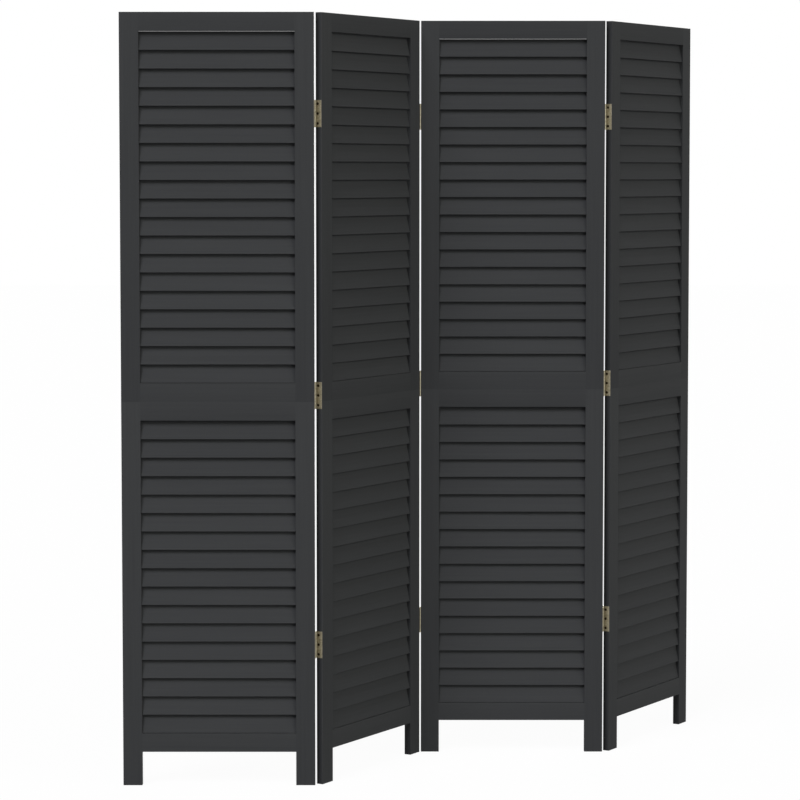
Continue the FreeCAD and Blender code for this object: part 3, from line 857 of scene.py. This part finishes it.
def roll_leaf(bm, panel, end, height):
    """Adds one leaf to a mesh."""
    line = end_line(panel, end)
    side = LINE_SIDES[line]
    plane, facing = seat(panel, end)
    pin = Vector((plane + facing * BARREL_RADIUS, pin_depth(line), 0.0))
    free = LEAF_MARGIN if side > 0 else FRAME_DEPTH - LEAF_MARGIN
    notch = pin.y - side * (BARREL_RADIUS + NOTCH_GAP)
    leaf = bmesh.new()
    bottom, top = height - HINGE_LENGTH / 2, height + HINGE_LENGTH / 2
    add_box(leaf, (plane, free, bottom), (plane + facing * SHEET, notch, top))
    spans = [knuckle_span(height, index) for index in range(1 if end == "left" else 0, KNUCKLES, 2)]
    for level in (level for span in spans for level in span if bottom + CLOSE < level < top - CLOSE):
        bmesh.ops.bisect_plane(leaf, geom=everything(leaf), plane_co=(0, 0, level), plane_no=(0, 0, 1))
    leaf.normal_update()
    tabs = []
    for face in leaf.faces:
        middle = face.calc_center_median()
        if face.normal.y * side > FACES_PIN and any(low < middle.z < high for low, high in spans):
            tabs.append(face)
    drawn = bmesh.ops.extrude_discrete_faces(leaf, faces=tabs)["faces"]
    for face in drawn:
        bmesh.ops.translate(leaf, vec=(0.0, pin.y - notch, 0.0), verts=face.verts)
        bmesh.ops.spin(
            leaf, geom=[face] + face.edges[:] + face.verts[:], cent=pin, axis=(0, 0, 1), dvec=(0, 0, 0),
            angle=-facing * side * ROLL, steps=ROLL_STEPS,
        )
    bmesh.ops.recalc_face_normals(leaf, faces=leaf.faces)
    join(bm, leaf)


def sink_holes(bm, panel, end):
    """Cuts countersunk holes, which widen as fast as they deepen, in the metal on a panel's end."""
    plane, facing = seat(panel, end)
    tool = bmesh.new()
    for depth, height in screw_places(panel, end):
        middle = Matrix.Translation((plane + facing * SHEET / 2, depth, height))
        bmesh.ops.create_cone(
            tool, cap_ends=True, segments=SINK_SIDES, radius1=SHANK_RADIUS - SINK_PAST,
            radius2=SHANK_RADIUS + SHEET + SINK_PAST, depth=SHEET + 2 * SINK_PAST,
            matrix=middle @ Matrix.Rotation(facing * QUARTER_TURN, 4, "Y"),
        )
    return cut(bm, tool)


def make_leaves(line, panel, end):
    bm = new_mesh()
    for height in HINGE_HEIGHTS:
        roll_leaf(bm, panel, end, height)
    bm = sink_holes(bm, panel, end)
    ease_sharp(bm, SHEET_ARRIS, segments=2)
    name = "right" if end == "left" else "left"
    return settle(bm, f"{line}_hinges_{name}_leaves", panel, bronze)


for panel in PANELS:
    for end in ("left", "right"):
        line = end_line(panel, end)
        if line:
            piece = make_leaves(line, panel, end)
            print(piece.name, len(piece.data.polygons), "faces")

# %% [markdown]
# ## Pins and joining plates
# A pin is a plain rod whose ends are domed by riveting, so it is spun from its outline. A joining plate
# is a strip with rounded corners, let into the outer edge across the seam.

# %% Model the pins and the plates
PIN_RADIUS = 0.00085
PIN_PROUD = 0.0006
PIN_RADIUS_SHARES = (0.0, 0.55, 0.88, 1.0)
PIN_DROPS = (0.0, 0.00008, 0.0003, 0.0006)
PLATE_HEIGHT = 0.054
PLATE_WIDTH = 0.012
PLATE_CORNER = 0.002


def make_pins(panel, line):
    bm = new_mesh()
    half = HINGE_LENGTH / 2 + PIN_PROUD
    dome = [(PIN_RADIUS * share, half - drop) for share, drop in zip(PIN_RADIUS_SHARES, PIN_DROPS)]
    outline = dome + [(radius, -rise) for radius, rise in reversed(dome)]
    for height in HINGE_HEIGHTS:
        rod = spin_outline(outline)
        matrix = Matrix.Translation((PANEL_WIDTH + BARREL_RADIUS, pin_depth(line), height))
        bmesh.ops.transform(rod, matrix=matrix, verts=rod.verts)
        join(bm, rod)
    return settle(bm, f"{line}_hinges_pins", panel, bronze)


def make_plate(panel, end):
    bm = new_mesh()
    plane, facing = seat(panel, end)
    near, far = (FRAME_DEPTH - PLATE_WIDTH) / 2, (FRAME_DEPTH + PLATE_WIDTH) / 2
    low, high = SEAM - PLATE_HEIGHT / 2, SEAM + PLATE_HEIGHT / 2
    add_box(bm, (plane, near, low), (plane + facing * SHEET, far, high))
    corners = [edge for edge in bm.edges if edge.calc_length() < SHEET * 2]
    ease(bm, corners, PLATE_CORNER, segments=5)
    bm = sink_holes(bm, panel, end)
    ease_sharp(bm, SHEET_ARRIS, segments=2)
    return settle(bm, f"panel_{panel}_joining_plate", panel, plate_paint)


for panel, line in zip(PANELS, LINES):
    make_pins(panel, line)
make_plate(1, "left")
make_plate(4, "right")
print(f"pins and plates made; at most {largest_step * 1000:.2f} mm off the solids' boxes")

# %% [markdown]
# ## Dowels
# The dowels that line up the two halves of each panel are hidden in the wood. Their solids are the
# right shape, so they stay and only get a bare beech finish: pale, with short dark flecks along the
# grain.

# %% Beech for the dowels
FLECKS_PER_METRE = (900.0, 900.0, 120.0)
FLECK_SPAN = (0.35, 0.65)
FLECKED_BEECH = (0.42, 0.27, 0.14, 1.0)
PALE_BEECH = (0.62, 0.46, 0.29, 1.0)
BEECH_ROUGHNESS = (0.75, 0.6)

beech = bpy.data.materials.new("bare_beech")
beech.use_nodes = True
tree = beech.node_tree
shader = tree.nodes["Principled BSDF"]
spot = add_node(tree, "ShaderNodeTexCoord").outputs["Object"]
flecks = noise_node(tree, scaled_vector(tree, spot, FLECKS_PER_METRE))
share = span_node(tree, flecks, 0.0, 1.0, *FLECK_SPAN)
tree.links.new(mix_colours(tree, share, FLECKED_BEECH, PALE_BEECH), shader.inputs["Base Color"])
tree.links.new(span_node(tree, share, *BEECH_ROUGHNESS), shader.inputs["Roughness"])
for panel in PANELS:
    frame["nodes"][f"panel_{panel}_dowels"].material_slots[0].material = beech
shown = [name for name, node in frame["nodes"].items() if not node.hide_render]
print("solids that still show:", shown)

# %% [markdown]
# ## Floor, light and camera
# The photograph is a plain studio picture on white. The floor is pale and takes the screen's shadow; to
# the camera, and in reflections, most of it is a flat white. The sky adds a little light from all
# round.

# %% Floor and sky
FLOOR_DROP = 0.0004
FLOOR_REACH = 30.0
FLOOR_COLOUR = (0.45, 0.45, 0.45, 1.0)
SEEN_COLOUR = (0.95, 0.95, 0.95, 1.0)
WHITE = (1.0, 1.0, 1.0, 1.0)
WHITE_SHARE = 0.965
SKY_LIGHT = 0.03


def seen_directly(tree):
    """One for rays from the camera and for reflected and transmitted rays, and nought for light."""
    path = tree.nodes.new("ShaderNodeLightPath")
    seen = math_node(tree, "MAXIMUM", path.outputs["Is Camera Ray"], path.outputs["Is Glossy Ray"])
    return math_node(tree, "MAXIMUM", seen, path.outputs["Is Transmission Ray"])


bm = bmesh.new()
drop = Matrix.Translation((0.0, 0.0, -FLOOR_DROP))
bmesh.ops.create_grid(bm, x_segments=1, y_segments=1, size=FLOOR_REACH, matrix=drop)
floor_mesh = bpy.data.meshes.new("studio_floor")
bm.to_mesh(floor_mesh)
bm.free()
floor = bpy.data.objects.new("studio_floor", floor_mesh)
bpy.context.collection.objects.link(floor)
floor_paint = bpy.data.materials.new("pale_floor")
floor_paint.use_nodes = True
floor_mesh.materials.append(floor_paint)
tree = floor_paint.node_tree
tree.nodes.remove(tree.nodes["Principled BSDF"])
seen = seen_directly(tree)
colour = mix_colours(tree, seen, FLOOR_COLOUR, SEEN_COLOUR)
matt = add_node(tree, "ShaderNodeBsdfDiffuse", {"Color": colour})
white = add_node(tree, "ShaderNodeEmission", {"Color": WHITE, "Strength": 1.0})
share = math_node(tree, "MULTIPLY", seen, WHITE_SHARE)
both = add_node(tree, "ShaderNodeMixShader", {0: share, 1: matt.outputs[0], 2: white.outputs[0]})
tree.links.new(both.outputs[0], tree.nodes["Material Output"].inputs["Surface"])

sky = bpy.data.worlds.new("studio_sky")
bpy.context.scene.world = sky
sky.use_nodes = True
tree = sky.node_tree
light = tree.nodes["Background"]
light.inputs["Color"].default_value = WHITE
light.inputs["Strength"].default_value = SKY_LIGHT
backdrop = add_node(tree, "ShaderNodeBackground", {"Color": WHITE, "Strength": 1.0})
inputs = {0: seen_directly(tree), 1: light.outputs[0], 2: backdrop.outputs[0]}
both = add_node(tree, "ShaderNodeMixShader", inputs)
tree.links.new(both.outputs[0], tree.nodes["World Output"].inputs["Surface"])
print("floor and sky made")

# %% [markdown]
# Each lamp is as wide as a softbox and is given by its angle aside, its angle above the floor, its
# width, its strength and its tint. The key from the upper left shades the slats, and a weak lamp high
# in front softens its shadows. The two from the right are warmer and light the turned panels, and the
# one behind shows through the slits. The camera stands well back with a long lens and looks down a
# little, and a small lens shift takes up the rest of the framing.

# %% Lamps and camera
COOL_LIGHT = (1.0, 1.0, 1.05)
WARM_LIGHT = (1.0, 0.995, 0.93)
LAMPS = {
    "key": (-32.0, 46.0, 28.0, 2.36, COOL_LIGHT),
    "high_front": (0.0, 55.0, 28.0, 0.2, COOL_LIGHT),
    "low_front": (40.0, 12.0, 28.0, 0.66, WARM_LIGHT),
    "side": (60.0, 24.0, 28.0, 0.72, WARM_LIGHT),
    "low_back": (170.0, 8.0, 20.0, 1.8, WARM_LIGHT),
}
EYE = Vector((-0.0496, -7.1541, 1.4314))
LOOK_DOWN = math.radians(3.833)
LENS = 131.37
LENS_SHIFT = -0.04
FARTHEST = 200.0

for name, (aside, above, width, strength, tint) in LAMPS.items():
    lamp = bpy.data.lights.new(name, "SUN")
    lamp.angle = math.radians(width)
    lamp.energy = strength
    lamp.color = tint
    stand = bpy.data.objects.new(name, lamp)
    stand.rotation_euler = (math.radians(90.0 - above), 0.0, math.radians(aside))
    bpy.context.collection.objects.link(stand)

camera = bpy.data.cameras.new("view_camera")
camera.lens = LENS
camera.shift_y = LENS_SHIFT
camera.clip_end = FARTHEST
eye = bpy.data.objects.new("view_camera", camera)
eye.location = EYE
eye.rotation_euler = (math.pi / 2 - LOOK_DOWN, 0.0, 0.0)
bpy.context.collection.objects.link(eye)
bpy.context.scene.camera = eye
bpy.context.scene.view_settings.view_transform = "Standard"
print("camera and", len(LAMPS), "lamps made")
